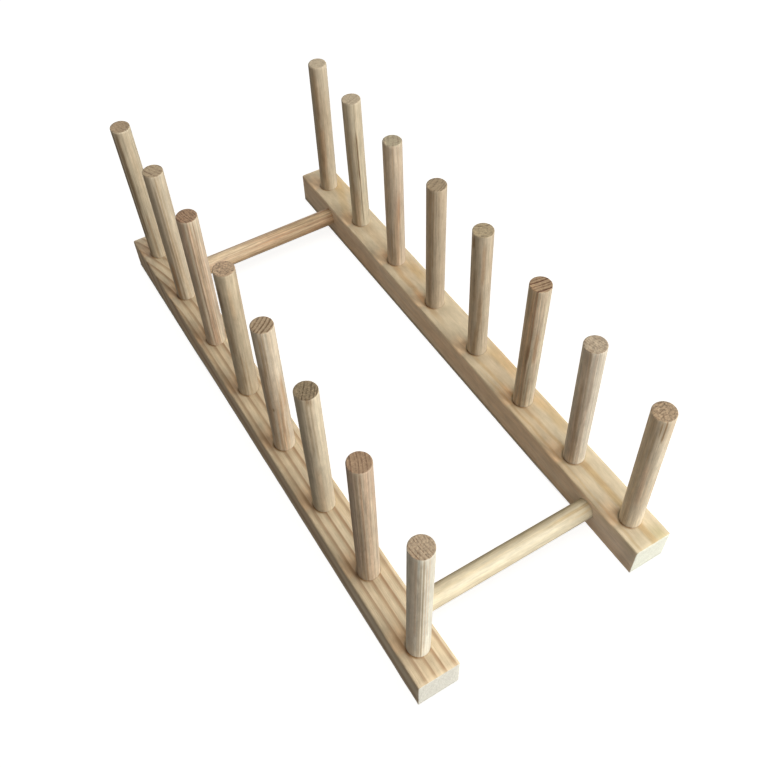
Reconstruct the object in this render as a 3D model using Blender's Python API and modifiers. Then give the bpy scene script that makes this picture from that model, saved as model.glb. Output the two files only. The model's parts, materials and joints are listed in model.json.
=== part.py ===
"""Pegged wooden rack for plates or lids: two rails on the table, eight upright
pegs in each, and two round stretchers that hold the rails apart.

Run with:  blender --background --python part.py

Metres, +Z up.  The rack stands on z = 0.  The rails run along Y, +Y is the
rear end and -X the left side.  The origin is under the middle of the rack.
"""

import math

import bmesh
import bpy
from mathutils import Vector

# --- driving dimensions ------------------------------------------------------
PEGS_PER_RAIL = 8
PEG_PITCH = 0.040           # centre to centre along a rail
PEG_DIAMETER = 0.010
PEG_EXPOSED = 0.082         # length of a peg above its rail
PEG_SEAT_DEPTH = 0.0115     # length of a peg inside its rail

RAIL_SPACING = 0.113        # centre to centre
RAIL_WIDTH = 0.0195
RAIL_HEIGHT = 0.018
RAIL_EDGE_RADIUS = 0.0005
RAIL_EDGE_STEPS = 2
FRONT_MARGIN = 0.0155       # rail end to the centre of the nearest peg, front
REAR_MARGIN = 0.0175        # the same at the rear

STRETCHER_DIAMETER = 0.010
STRETCHER_FROM_MIDDLE = 0.1225   # from the middle of the peg row, each way
STRETCHER_HEIGHT = 0.010         # axis above the table
STRETCHER_SEAT_DEPTH = 0.0115    # length of a stretcher inside each rail

DOWEL_END_CHAMFER = 0.00035  # on both ends of every peg and stretcher
SEAT_GAP = 0.0003            # round a dowel in its hole, and under its end
CUTTER_OVERSHOOT = 0.004     # how far a hole cutter stands out of the hole
ROUND_STEPS = 32

BEVEL_ANGLE = math.radians(40)   # edges sharper than this are eased
SHARP_ANGLE = math.radians(35)   # edges sharper than this are shaded sharp

SIDES = {"left": -1, "right": 1}                        # sign along X
STRETCHERS = {"rear_stretcher": 1, "front_stretcher": -1}   # sign along Y

# The holes are drilled by hand, so each peg stands a little off plumb.
# Degrees towards +X and towards +Y, from the rear peg (1) to the front one (8).
LEAN = {
    "left": [
        (-0.5, 2.5), (0, 0.5), (0.5, 0.5), (0.5, 0),
        (0, 0.5), (-0.5, 0.5), (0, 0.5), (0.5, 0),
    ],
    "right": [
        (0, 1), (-1, 1), (-1, 0), (-1, -0.5),
        (-1.5, 0), (-0.5, -0.5), (-2.5, 0), (-2.5, 0),
    ],
}

# --- sizes that follow from them ---------------------------------------------
PEG_ROW = (PEGS_PER_RAIL - 1) * PEG_PITCH
PEG_ROW_MIDDLE = (FRONT_MARGIN - REAR_MARGIN) / 2
RAIL_LENGTH = FRONT_MARGIN + PEG_ROW + REAR_MARGIN
INNER_GAP = RAIL_SPACING - RAIL_WIDTH   # between the rails' inner faces

# --- wood: linear RGB, roughness ---------------------------------------------
WOOD = {
    "left_rail": ((0.50, 0.34, 0.19), 0.62),
    "right_rail": ((0.56, 0.40, 0.23), 0.62),
    "rear_stretcher": ((0.52, 0.33, 0.18), 0.60),
    "front_stretcher": ((0.68, 0.54, 0.34), 0.60),
    "peg": ((0.50, 0.35, 0.21), 0.64),
}

# Pegs vary in brightness: a factor on the peg colour, taken in mixed order.
PEG_SHADE_DARKEST = 0.94
PEG_SHADE_STEP = 0.02
PEG_SHADE_LEVELS = 7
PEG_SHADE_STRIDE = 3        # levels to move on from one peg to the next


# --- scene and materials -----------------------------------------------------
def clear_scene():
    for obj in list(bpy.data.objects):
        bpy.data.objects.remove(obj, do_unlink=True)


def new_collection(name, shown=True):
    collection = bpy.data.collections.new(name)
    bpy.context.scene.collection.children.link(collection)
    collection.hide_render = not shown
    return collection


def wood_material(name, tone, shade=1.0):
    colour, roughness = WOOD[tone]
    rgba = [channel * shade for channel in colour] + [1.0]
    material = bpy.data.materials.new(name)
    material.use_nodes = True
    shader = material.node_tree.nodes["Principled BSDF"]
    shader.inputs["Base Color"].default_value = rgba
    shader.inputs["Roughness"].default_value = roughness
    shader.inputs["Metallic"].default_value = 0.0
    material.diffuse_color = rgba
    return material


def peg_material(side, index):
    level = (index * PEG_SHADE_STRIDE) % PEG_SHADE_LEVELS
    shade = PEG_SHADE_DARKEST + PEG_SHADE_STEP * level
    return wood_material(f"{side}_peg_{index + 1}_wood", "peg", shade)


# --- solids ------------------------------------------------------------------
def add_object(name, bm, collection, parent, material=None):
    mesh = bpy.data.meshes.new(name)
    bm.to_mesh(mesh)
    bm.free()
    obj = bpy.data.objects.new(name, mesh)
    collection.objects.link(obj)
    obj.parent = parent
    if material:
        mesh.materials.append(material)
    mesh.shade_smooth()
    mesh.set_sharp_from_angle(angle=SHARP_ANGLE)
    return obj


def block(size):
    """A box centred on the origin."""
    bm = bmesh.new()
    bmesh.ops.create_cube(bm, size=1.0)
    bmesh.ops.scale(bm, vec=Vector(size), verts=bm.verts)
    return bm


def round_bar(diameter, length):
    """A cylinder along Z, centred on the origin."""
    bm = bmesh.new()
    bmesh.ops.create_cone(
        bm,
        cap_ends=True,
        cap_tris=False,
        segments=ROUND_STEPS,
        radius1=diameter / 2,
        radius2=diameter / 2,
        depth=length,
    )
    return bm


def place_along(obj, centre, direction):
    """Put the object at `centre` with its Z axis along `direction`."""
    obj.rotation_mode = "QUATERNION"
    obj.rotation_quaternion = direction.to_track_quat("Z", "Y")
    obj.location = centre


def ease_edges(obj, width, segments):
    bevel = obj.modifiers.new("eased_edges", "BEVEL")
    bevel.width = width
    bevel.segments = segments
    bevel.limit_method = "ANGLE"
    bevel.angle_limit = BEVEL_ANGLE


def drill_seat(rail, name, diameter, depth, mouth, outward, cutters, parent):
    """Cut a blind hole in the rail: its mouth is centred on `mouth`, it opens
    along `outward`, and it leaves the seat gap round and under the dowel.
    `mouth` and `outward` are in the frame of `parent`, which owns the cutter."""
    length = depth + SEAT_GAP + CUTTER_OVERSHOOT
    cutter = add_object(name, round_bar(diameter + 2 * SEAT_GAP, length), cutters, parent)
    place_along(cutter, mouth + outward * (CUTTER_OVERSHOOT - length / 2), outward)
    cutter.display_type = "WIRE"
    cutter.hide_render = True

    cut = rail.modifiers.new("hole_" + name, "BOOLEAN")
    cut.operation = "DIFFERENCE"
    cut.solver = "EXACT"
    cut.object = cutter


def add_dowel(name, diameter, length, near_end, direction, parts, parent, material):
    """A round bar that starts at `near_end` and runs along `direction`."""
    bar = add_object(name, round_bar(diameter, length), parts, parent, material)
    place_along(bar, near_end + direction * (length / 2), direction)
    ease_edges(bar, DOWEL_END_CHAMFER, segments=1)


# --- pieces of the rack ------------------------------------------------------
def make_rail(side, parts, root):
    name = side + "_rail"
    size = (RAIL_WIDTH, RAIL_LENGTH, RAIL_HEIGHT)
    rail = add_object(name, block(size), parts, root, wood_material(name + "_wood", name))
    rail.location = (SIDES[side] * RAIL_SPACING / 2, 0.0, RAIL_HEIGHT / 2)
    ease_edges(rail, RAIL_EDGE_RADIUS, RAIL_EDGE_STEPS)
    return rail


def lean_direction(towards_x, towards_y):
    """Unit vector up a peg that leans by these angles in degrees."""
    return Vector(
        (math.tan(math.radians(towards_x)), math.tan(math.radians(towards_y)), 1.0)
    ).normalized()


def make_pegs(side, rail, parts, cutters):
    """The row of pegs on one rail, placed in the frame of the rail, whose
    origin is the middle of the block."""
    for i, lean in enumerate(LEAN[side]):
        y = PEG_ROW_MIDDLE + PEG_ROW / 2 - i * PEG_PITCH
        mouth = Vector((0.0, y, RAIL_HEIGHT / 2))
        direction = lean_direction(*lean)
        drill_seat(
            rail, f"{side}_peg_hole_{i + 1}", PEG_DIAMETER, PEG_SEAT_DEPTH,
            mouth, direction, cutters, parent=rail,
        )
        add_dowel(
            f"{side}_peg_{i + 1}", PEG_DIAMETER, PEG_SEAT_DEPTH + PEG_EXPOSED,
            mouth - direction * PEG_SEAT_DEPTH, direction,
            parts, parent=rail, material=peg_material(side, i),
        )


def make_stretcher(name, rails, parts, cutters, root):
    """A dowel along X between the rails, with its seat in each of them."""
    y = PEG_ROW_MIDDLE + STRETCHERS[name] * STRETCHER_FROM_MIDDLE
    z = STRETCHER_HEIGHT
    along = Vector((1.0, 0.0, 0.0))
    add_dowel(
        name, STRETCHER_DIAMETER, INNER_GAP + 2 * STRETCHER_SEAT_DEPTH,
        Vector((-INNER_GAP / 2 - STRETCHER_SEAT_DEPTH, y, z)), along,
        parts, parent=root, material=wood_material(name + "_wood", name),
    )
    for side, sign in SIDES.items():
        drill_seat(
            rails[side], f"{side}_{name}_hole", STRETCHER_DIAMETER, STRETCHER_SEAT_DEPTH,
            Vector((sign * INNER_GAP / 2, y, z)), -sign * along, cutters, parent=root,
        )


def main():
    clear_scene()
    parts = new_collection("pegged_rack")
    cutters = new_collection("cutters", shown=False)
    root = bpy.data.objects.new("rack", None)
    root.empty_display_size = 0.02
    parts.objects.link(root)

    rails = {}
    for side in SIDES:
        rails[side] = make_rail(side, parts, root)
        make_pegs(side, rails[side], parts, cutters)
    for name in STRETCHERS:
        make_stretcher(name, rails, parts, cutters, root)
    bpy.context.view_layer.update()


main()
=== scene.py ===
# A pine peg rack standing on z = 0. Two square rails lie along Y, the left one at -X and the
# right one at +X. Each carries a row of eight upright dowel pegs, and two round stretchers
# along X join the rails, the front one nearer -Y.
import json
import math

import bmesh
import bpy
import numpy as np
from mathutils import Matrix, Vector, noise

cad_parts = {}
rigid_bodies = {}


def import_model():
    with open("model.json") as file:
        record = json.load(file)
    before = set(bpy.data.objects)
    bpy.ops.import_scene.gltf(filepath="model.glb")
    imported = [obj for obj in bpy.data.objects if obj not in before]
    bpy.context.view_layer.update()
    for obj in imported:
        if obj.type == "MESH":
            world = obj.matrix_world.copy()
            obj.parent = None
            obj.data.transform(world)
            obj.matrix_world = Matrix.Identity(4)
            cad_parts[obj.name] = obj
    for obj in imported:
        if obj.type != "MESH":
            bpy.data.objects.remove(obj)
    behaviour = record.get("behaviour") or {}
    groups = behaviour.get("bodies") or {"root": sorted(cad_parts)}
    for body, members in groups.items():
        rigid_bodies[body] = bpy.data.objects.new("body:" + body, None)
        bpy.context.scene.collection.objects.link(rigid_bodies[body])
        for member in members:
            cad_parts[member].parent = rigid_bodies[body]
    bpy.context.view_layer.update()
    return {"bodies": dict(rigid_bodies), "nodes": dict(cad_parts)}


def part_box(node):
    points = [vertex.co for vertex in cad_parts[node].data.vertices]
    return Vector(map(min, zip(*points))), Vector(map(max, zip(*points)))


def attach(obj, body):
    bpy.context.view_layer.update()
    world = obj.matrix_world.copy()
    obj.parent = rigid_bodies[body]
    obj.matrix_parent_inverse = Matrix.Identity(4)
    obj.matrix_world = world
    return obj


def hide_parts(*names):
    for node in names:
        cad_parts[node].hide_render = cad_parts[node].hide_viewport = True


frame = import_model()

NODES = frame["nodes"]
ROOT = sorted(frame["bodies"])[0]
SCENE = bpy.context.scene
MM = 0.001

# camera: angles in radians, place in metres
CAM_AZ, CAM_EL, CAM_ROLL = -0.5138409, 0.8898972, -0.0386527
CAM_AT = Vector((-0.1359929, -0.2617209, 0.3665727))
CAM_LENS = 41.387
CAM_RIGHT = Vector((math.cos(CAM_AZ), math.sin(CAM_AZ), 0))
CAM_AWAY = Vector((-math.sin(CAM_AZ), math.cos(CAM_AZ), 0))


# =============================================================================
# geometry helpers
# =============================================================================

def bar_axis(name):
    """(start, end, radius) of a round bar, in metres, read off its CAD solid."""
    points = np.array([v.co for v in NODES[name].data.vertices], float)
    middle = (points.min(0) + points.max(0)) / 2
    _, _, directions = np.linalg.svd(points - points.mean(0), full_matrices=False)
    axis = directions[0]
    if axis[np.argmax(np.abs(axis))] < 0:
        axis = -axis
    along = (points - middle) @ axis
    tips = []
    for at in (along.min(), along.max()):
        ring = points[np.abs(along - at) < 2e-4]
        tips.append((ring.min(0) + ring.max(0)) / 2)
    start, end = tips
    axis = (end - start) / np.linalg.norm(end - start)
    outward = (points - start) - np.outer((points - start) @ axis, axis)
    return Vector(start), Vector(end), float(np.linalg.norm(outward, axis=1).max())


def bar_frame(along, across):
    """Columns: two directions across the bar, then along it."""
    along = along.normalized()
    first = (across - along * across.dot(along)).normalized()
    return Matrix((first, along.cross(first), along)).transposed()


def mesh_object(name, bm):
    mesh = bpy.data.meshes.new(name)
    bm.to_mesh(mesh)
    bm.free()
    obj = bpy.data.objects.new(name, mesh)
    SCENE.collection.objects.link(obj)
    return obj


def add_wood_attributes(mesh, grain, cut, worn):
    """Per vertex: nominal place in the wood (mm), share of cut end grain, edge wear."""
    for name, kind, field, values in (
        ("grain", "FLOAT_VECTOR", "vector", grain),
        ("cut", "FLOAT", "value", cut),
        ("worn", "FLOAT", "value", worn),
    ):
        attribute = mesh.attributes.new(name, kind, "POINT")
        attribute.data.foreach_set(field, np.asarray(values, np.float32).ravel())


def wave(x, y, z, seed):
    """Smooth noise, moved to its own region by the seed."""
    return noise.noise(Vector((x + seed * 7.31, y - seed * 3.17, z + seed * 11.9)))


def following(ring):
    """The ring, one step on."""
    return ring[1:] + ring[:1]


def quads(low, high):
    """Corners of the quads between two closed rings: low, next low, next high, high."""
    return zip(low, following(low), following(high), high)


# =============================================================================
# round bars: pegs and stretchers (millimetres, in the bar's own frame)
# =============================================================================

BAR_STEPS = 80
BAR_END_RINGS = 9
BAR_STATION_GAP = 1.25
# the broken edge: distance from the end and inset, both times the tip size, end-grain share
BAR_EDGE = [(0.22, 0.42, 0.8), (0.62, 0.12, 0.35), (1.05, 0.0, 0.0)]


def bar_profile(length, radius, tip):
    """Stations along a bar: (distance along, radius, share of cut end grain)."""
    bottom = [(0.0, k / BAR_END_RINGS * (radius - tip), 1.0) for k in range(1, BAR_END_RINGS + 1)]
    bottom += [(up * tip, radius - tip * inset, share) for up, inset, share in BAR_EDGE]
    edge = BAR_EDGE[-1][0] * tip
    body = length - 2 * edge
    count = max(20, int(body / BAR_STATION_GAP))
    wall = [(edge + body * k / count, radius, 0.0) for k in range(1, count)]
    return bottom + wall + [(length - up, ring, share) for up, ring, share in reversed(bottom)]


def make_bar(name, node, across, spec):
    """A sawn dowel: nearly round, broken edges, end faces with end-grain relief."""
    start, end, cad_radius = bar_axis(node)
    turn = bar_frame(end - start, across)
    radius = cad_radius / MM + spec.get("swell", 0.0)
    length = (end - start).length / MM + spec.get("proud", 0.0)
    seed = spec["seed"]
    tip = spec["tip"]
    tilt_a, tilt_b = spec.get("tilt", (0.0, 0.0))
    bm = bmesh.new()
    grain, cut = [], []

    def add(a, b, along, nominal, share):
        grain.append(nominal)
        cut.append(share)
        return bm.verts.new(start + turn @ Vector((a, b, along)) * MM)

    def relief(a, b):
        """Height of an end face: coarse and fine roughness, and the tilt of the cut."""
        rough = wave(a * 1.1, b * 1.1, 0.0, seed) * 0.05
        rough += wave(a * 3.1, b * 3.1, 4.0, seed) * 0.03
        return rough + a * tilt_a + b * tilt_b

    def chip(angle, cos, sin, along, ring):
        """(inward, downward at full end grain) bite of the chips in the top edge."""
        inward = downward = 0.0
        for centre, wide, deep, tall in spec.get("chips", ()):
            off = (math.degrees(angle) - centre + 180.0) % 360.0 - 180.0
            near = math.exp(-((off / wide) ** 2)) * math.exp(-(((length - along) / tall) ** 2))
            rough = 0.7 + 0.6 * wave(cos * 7, sin * 7, along * 1.3, seed + 9)
            edge = max(0.0, (ring - radius * 0.55) / (radius * 0.45))
            inward += deep * near * rough * edge
            downward += deep * 0.8 * near * edge
        return inward, downward

    def surface(angle, along, ring, share):
        """The vertex at an angle on a station."""
        cos, sin = math.cos(angle), math.sin(angle)
        oval = 0.024 * math.cos(2 * angle + seed)
        oval += 0.014 * math.cos(3 * angle + 2.1 * seed + along * 0.03)
        fibre = 0.016 * wave(cos * 5.5, sin * 5.5, along / 22.0, seed)
        fibre += 0.03 * wave(cos * 1.3, sin * 1.3, along / 30.0, seed + 2)
        out = ring + (oval + fibre) * min(1.0, ring / radius)
        height = along
        top = along > length / 2
        if share > 0.0:
            if ring > radius - tip * 0.5:
                out += 0.20 * tip * wave(cos * 9.0, sin * 9.0, along * 0.5, seed + 5)
            height += relief(ring * cos, ring * sin) * share * (1.0 if top else -1.0)
        if top:
            inward, downward = chip(angle, cos, sin, along, ring)
            out -= inward
            height -= downward * (share > 0.5)
        return add(out * cos, out * sin, height, (ring * cos, ring * sin, along), share)

    rings = [
        [surface(2 * math.pi * s / BAR_STEPS, *station) for s in range(BAR_STEPS)]
        for station in bar_profile(length, radius, tip)
    ]
    for low, high in zip(rings, rings[1:]):
        for corners in quads(low, high):
            bm.faces.new(corners)
    for ring, along, sign in ((rings[0], 0.0, -1), (rings[-1], length, 1)):
        hub = add(0, 0, along + relief(0, 0) * sign, (0, 0, along), 1.0)
        for here, after in zip(ring, following(ring)):
            bm.faces.new((here, after, hub)[::sign])
    bm.normal_update()
    obj = mesh_object(name, bm)
    add_wood_attributes(obj.data, grain, cut, [0.0] * len(cut))
    obj.data.shade_smooth()
    return obj


# =============================================================================
# rails (millimetres about the rail's middle)
# =============================================================================

# corner radii of the section, counter-clockwise from +X +Z
CORNER_RADII = (0.55, 0.85, 0.35, 0.35)
CORNER_STEPS = 5
FLAT_POINTS_PER_MM = 0.9
END_ROUND = 0.28
RAIL_STATION_GAP = 2.0
CAP_SCALES = [0.82, 0.62, 0.42, 0.22]
SEAT_STEPS = 72
SEAT_FLARE = 0.05
# metres of play below the end of a bar and round it
SEAT_EXTRA_DEPTH = 0.0003
SEAT_CLEARANCE = 0.00013
# the -Y stretch over which a rail may widen
WIDE_REACH = 60


def rounded_outline(wide, high):
    """(x, z) round a rectangle with small round corners, counter-clockwise."""
    arcs = []
    corners = ((1, 1), (-1, 1), (-1, -1), (1, -1))
    for k, ((side_x, side_z), radius) in enumerate(zip(corners, CORNER_RADII)):
        centre_x = side_x * (wide / 2 - radius)
        centre_z = side_z * (high / 2 - radius)
        angles = [math.radians(90 * k + 90.0 * s / CORNER_STEPS) for s in range(CORNER_STEPS + 1)]
        arcs.append([(centre_x + radius * math.cos(t), centre_z + radius * math.sin(t))
                     for t in angles])
    points = []
    for arc, after in zip(arcs, following(arcs)):
        points += arc
        x, z = arc[-1]
        run_x, run_z = after[0][0] - x, after[0][1] - z
        count = max(2, int(math.hypot(run_x, run_z) * FLAT_POINTS_PER_MM))
        points += [(x + run_x * (s / count), z + run_z * (s / count)) for s in range(1, count)]
    return points


def rail_blank(name, wide, long, high):
    """The batten before its seats are cut, with eased ends."""
    outline = rounded_outline(wide, high)
    bm = bmesh.new()

    def ring_at(y, inset, scale=1.0):
        scale_x = (wide / 2 - inset) / (wide / 2) * scale
        scale_z = (high / 2 - inset) / (high / 2) * scale
        return [bm.verts.new((x * scale_x, y - long / 2, z * scale_z)) for x, z in outline]

    # (distance from the -Y end, how far the outline is drawn in)
    edge = [(0.0, END_ROUND), (END_ROUND * 0.3, END_ROUND * 0.3), (END_ROUND, 0.0)]
    body = long - 2 * END_ROUND
    count = int(body / RAIL_STATION_GAP)
    stations = edge + [(END_ROUND + body * k / count, 0.0) for k in range(1, count)]
    stations += [(long - y, inset) for y, inset in reversed(edge)]

    rings = [ring_at(0.0, END_ROUND, scale) for scale in reversed(CAP_SCALES)]
    rings += [ring_at(y, inset) for y, inset in stations]
    rings += [ring_at(long, END_ROUND, scale) for scale in CAP_SCALES]
    for low, high_ring in zip(rings, rings[1:]):
        for here, after, over_after, over in quads(low, high_ring):
            bm.faces.new((here, over, over_after, after))
    hub = bm.verts.new((0, -long / 2, 0))
    for here, after in zip(rings[0], following(rings[0])):
        bm.faces.new((hub, here, after))
    hub = bm.verts.new((0, long / 2, 0))
    for here, after in zip(rings[-1], following(rings[-1])):
        bm.faces.new((hub, after, here))
    bmesh.ops.recalc_face_normals(bm, faces=bm.faces)
    return mesh_object(name, bm)


def seat_cutter(name, index, seat, middle, seed):
    """A plug for one seat: straight wall, slightly flared and frayed mouth."""
    mouth, outward, depth, seat_radius = seat
    radius = seat_radius / MM
    lip = radius + SEAT_FLARE * 0.8
    # (distance out of the mouth, radius)
    profile = [(-depth / MM, radius), (-SEAT_FLARE, radius), (0.0, lip), (3.0, lip + 0.6)]
    base = (mouth - middle) / MM
    turn = bar_frame(outward, Vector((0, 1, 0)) if abs(outward.y) < 0.9 else Vector((1, 0, 0)))
    bm = bmesh.new()
    rings = []
    for out, ring_radius in profile:
        ring = []
        for s in range(SEAT_STEPS):
            angle = 2 * math.pi * s / SEAT_STEPS
            cos, sin = math.cos(angle), math.sin(angle)
            fray = 1.0 + (0.012 * wave(cos * 4, sin * 4, index, seed) if out > -0.1 else 0.0)
            reach = ring_radius * fray
            ring.append(bm.verts.new(base + turn @ Vector((reach * cos, reach * sin, out))))
        rings.append(ring)
    for low, high in zip(rings, rings[1:]):
        for corners in quads(low, high):
            bm.faces.new(corners)
    bm.faces.new(rings[0][::-1])
    bm.faces.new(rings[-1])
    bmesh.ops.recalc_face_normals(bm, faces=bm.faces)
    return mesh_object(f"{name}_cutter_{index}", bm)


def cut_seats(obj, seats, middle, seed):
    """Cut the seats out of the rail for good, and remove the cutters."""
    cutters = []
    for index, seat in enumerate(seats):
        cutter = seat_cutter(obj.name, index, seat, middle, seed)
        cutters.append(cutter)
        cut = obj.modifiers.new(f"seat_{index}", "BOOLEAN")
        cut.operation = "DIFFERENCE"
        cut.solver = "EXACT"
        cut.object = cutter
    bpy.context.view_layer.update()
    depsgraph = bpy.context.evaluated_depsgraph_get()
    finished = bpy.data.meshes.new_from_object(obj.evaluated_get(depsgraph))
    obj.modifiers.clear()
    obj.data = finished
    for cutter in cutters:
        bpy.data.objects.remove(cutter, do_unlink=True)


def edge_wear(gaps):
    """1 on an arris, falling to 0 at 1.3 mm from it; gaps are distances in from the faces."""
    worn = np.zeros(len(gaps))
    for first, second in ((0, 2), (1, 2), (0, 1)):
        off = np.hypot(np.maximum(gaps[:, first], 0), np.maximum(gaps[:, second], 0))
        worn = np.maximum(worn, np.clip(1 - off / 1.3, 0, 1))
    return worn


def seat_mask(points, seats, middle):
    """1 on vertices in or at the rim of a seat."""
    mask = np.zeros(len(points))
    for mouth, outward, depth, radius in seats:
        offset = points * MM + np.array(middle) - np.array(mouth)
        direction = np.array(outward)
        out = offset @ direction
        off_axis = np.linalg.norm(offset - np.outer(out, direction), axis=1)
        inside = (off_axis < radius + 0.0006) & (out > -depth - 1e-4) & (out < 0.0012)
        mask = np.maximum(mask, inside.astype(float))
    return mask


def hand_planed(points, gaps, worn, in_seat, size, spec):
    """The points moved by planing marks, worn arrises and rough sawn ends."""
    wide, long, high = size
    seed = spec["seed"]
    moved = points.copy()
    for i, (x, y, z) in enumerate(points):
        gap_x, gap_y, gap_z = gaps[i]
        hold = 1.0 - 0.85 * in_seat[i]
        slow = 0.05 * wave(x / 9, y / 60, z / 9, seed)
        slow += 0.022 * wave(x / 2.2, y / 14, z / 2.2, seed + 3)
        chatter = 0.008 * math.sin(y * 2 * math.pi / 3.4 + 0.7 * math.sin(y / 40))
        wear = -0.10 * worn[i] * (0.5 + wave(x, y / 9, z, seed + 6))
        wear *= 1 if gap_y > 0.6 else 0.6
        push_x = math.copysign(1.0, x) * max(0.0, 1 - gap_x / 0.8)
        push_z = math.copysign(1.0, z) * max(0.0, 1 - gap_z / 0.8)
        # the underside stays flat
        if z < -high / 2 + 0.6:
            push_z = 0.0
        moved[i, 0] += push_x * (slow + chatter + wear) * hold
        moved[i, 2] += push_z * (slow + chatter + wear) * hold
        # the +X face swells towards the -Y end
        past = -long / 2 + WIDE_REACH - y
        if past > 0 and x > 0:
            swell = (2 * x / wide) ** 3 * (past / WIDE_REACH) ** 2
            moved[i, 0] += spec.get("wide_end", 0.0) * hold * swell
        # the upright arris at +X -Y is knocked back
        if y < 0 and x > 0:
            corner = max(0.0, 0.5 - (gap_x + gap_y))
            moved[i, 0] -= 0.5 * corner
            moved[i, 1] += 0.35 * corner
        if gap_y < 0.02:
            rough = 0.05 * wave(x * 0.9, 1.0, z * 0.9, seed + 8)
            rough += 0.03 * wave(x * 2.7, 3.0, z * 2.7, seed + 9)
            rough += 0.012 * math.sin((x * 0.35 + z) * 2 * math.pi / 1.3)
            moved[i, 1] += math.copysign(1.0, y) * (rough - 0.04)
    return moved


def make_rail(name, node, seats, spec):
    """A planed batten with eased, slightly uneven arrises and blind round seats.
    `seats` are (mouth, outward direction, depth, radius) in metres."""
    lo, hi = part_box(node)
    middle = (lo + hi) / 2
    size = [(b - a) / MM for a, b in zip(lo, hi)]
    half_length = size[1] / 2
    obj = rail_blank(name, *size)
    cut_seats(obj, seats, middle, spec["seed"])
    mesh = obj.data

    points = np.array([v.co for v in mesh.vertices], float)
    gaps = np.array(size) / 2 - np.abs(points)
    end_grain = np.clip((np.abs(points[:, 1]) - (half_length - END_ROUND)) / END_ROUND, 0, 1)
    worn = edge_wear(gaps)
    in_seat = seat_mask(points, seats, middle)
    moved = hand_planed(points, gaps, worn, in_seat, size, spec) * MM + np.array(middle)
    mesh.vertices.foreach_set("co", moved.astype(np.float32).ravel())
    mesh.update()
    add_wood_attributes(mesh, points[:, (0, 2, 1)], end_grain, worn)
    mesh.shade_smooth()
    mesh.set_sharp_from_angle(angle=math.radians(38))
    return obj


# =============================================================================
# shader graphs
# =============================================================================

def operator(operation, swapped=False):
    def apply(self, other):
        pair = (other, self) if swapped else (self, other)
        return self.graph.calc(operation, *pair)
    return apply


class Value:
    """A node output. Arithmetic on it adds Math nodes."""

    def __init__(self, graph, socket):
        self.graph = graph
        self.socket = socket

    __add__ = operator("ADD")
    __radd__ = operator("ADD", swapped=True)
    __sub__ = operator("SUBTRACT")
    __rsub__ = operator("SUBTRACT", swapped=True)
    __mul__ = operator("MULTIPLY")
    __truediv__ = operator("DIVIDE")

    def clamped(self):
        """Clamp the Math node that gives this value to 0..1."""
        self.socket.node.use_clamp = True
        return self


class Graph:
    """Short hands for wiring nodes."""

    def __init__(self, tree):
        self.tree = tree

    def put(self, socket, value):
        if isinstance(value, Value):
            self.tree.links.new(value.socket, socket)
        elif socket.type == "RGBA":
            socket.default_value = (*value, 1.0)
        else:
            socket.default_value = value

    def node(self, kind, *values, inputs=None, **settings):
        """A node; `values` fill its first inputs, `inputs` others by name or number."""
        node = self.tree.nodes.new(kind)
        for key, value in settings.items():
            setattr(node, key, value)
        for socket, value in zip(node.inputs, values):
            self.put(socket, value)
        for key, value in (inputs or {}).items():
            self.put(node.inputs[key], value)
        return node

    def add(self, kind, *values, output=0, **more):
        """A new node's output."""
        return Value(self, self.node(kind, *values, **more).outputs[output])

    def calc(self, operation, *values):
        return self.add("ShaderNodeMath", *values, operation=operation)

    def length(self, a, b):
        return self.calc("SQRT", a * a + b * b)

    def vector_sum(self, a, b):
        return self.add("ShaderNodeVectorMath", a, b, operation="ADD")

    def scaled(self, vector, amount):
        """A vector or colour times a number."""
        return self.add("ShaderNodeVectorMath", vector, inputs={"Scale": amount},
                        operation="SCALE")

    def xyz(self, x, y, z):
        return self.add("ShaderNodeCombineXYZ", x, y, z)

    def split(self, vector):
        return [Value(self, s) for s in self.node("ShaderNodeSeparateXYZ", vector).outputs]

    def noise(self, vector, detail=2.0, rough=0.5):
        return self.add("ShaderNodeTexNoise", inputs={
            "Vector": vector, "Scale": 1.0, "Detail": detail, "Roughness": rough})

    def noise_1d(self, place, detail=1.0):
        return self.add("ShaderNodeTexNoise", noise_dimensions="1D",
                        inputs={"W": place, "Scale": 1.0, "Detail": detail})

    def ramp(self, x, start, end, low=0.0, high=1.0, kind="SMOOTHSTEP"):
        """`low` before `start`, `high` after `end`."""
        return self.add("ShaderNodeMapRange", x, start, end, low, high, interpolation_type=kind)

    def fall(self, x, start, end):
        return self.ramp(x, start, end, 1.0, 0.0)

    def linear(self, x, start, end, low=0.0, high=1.0):
        return self.ramp(x, start, end, low, high, "LINEAR")

    def mix(self, share, a, b, blend="MIX"):
        return self.add("ShaderNodeMix", share, inputs={6: a, 7: b}, output=2,
                        data_type="RGBA", blend_type=blend, clamp_factor=True)

    def tinted(self, colour, tone):
        return self.mix(1.0, colour, tone, "MULTIPLY")

    def stain(self, share, colour, tone):
        """The colour, multiplied by the tone over a share."""
        return self.mix(share, colour, self.tinted(colour, tone))


def node_group(name, inputs, outputs):
    """A new group's graph, and its inputs by name. Sockets are (name, kind[, default])."""
    tree = bpy.data.node_groups.new(name, "ShaderNodeTree")
    for in_out, sockets in (("INPUT", inputs), ("OUTPUT", outputs)):
        for socket_name, kind, *default in sockets:
            socket = tree.interface.new_socket(
                socket_name, in_out=in_out, socket_type="NodeSocket" + kind)
            if default:
                socket.default_value = default[0]
    graph = Graph(tree)
    given = graph.node("NodeGroupInput").outputs
    return graph, {socket.name: Value(graph, socket) for socket in given}


# =============================================================================
# wood (millimetres throughout)
# =============================================================================

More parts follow.
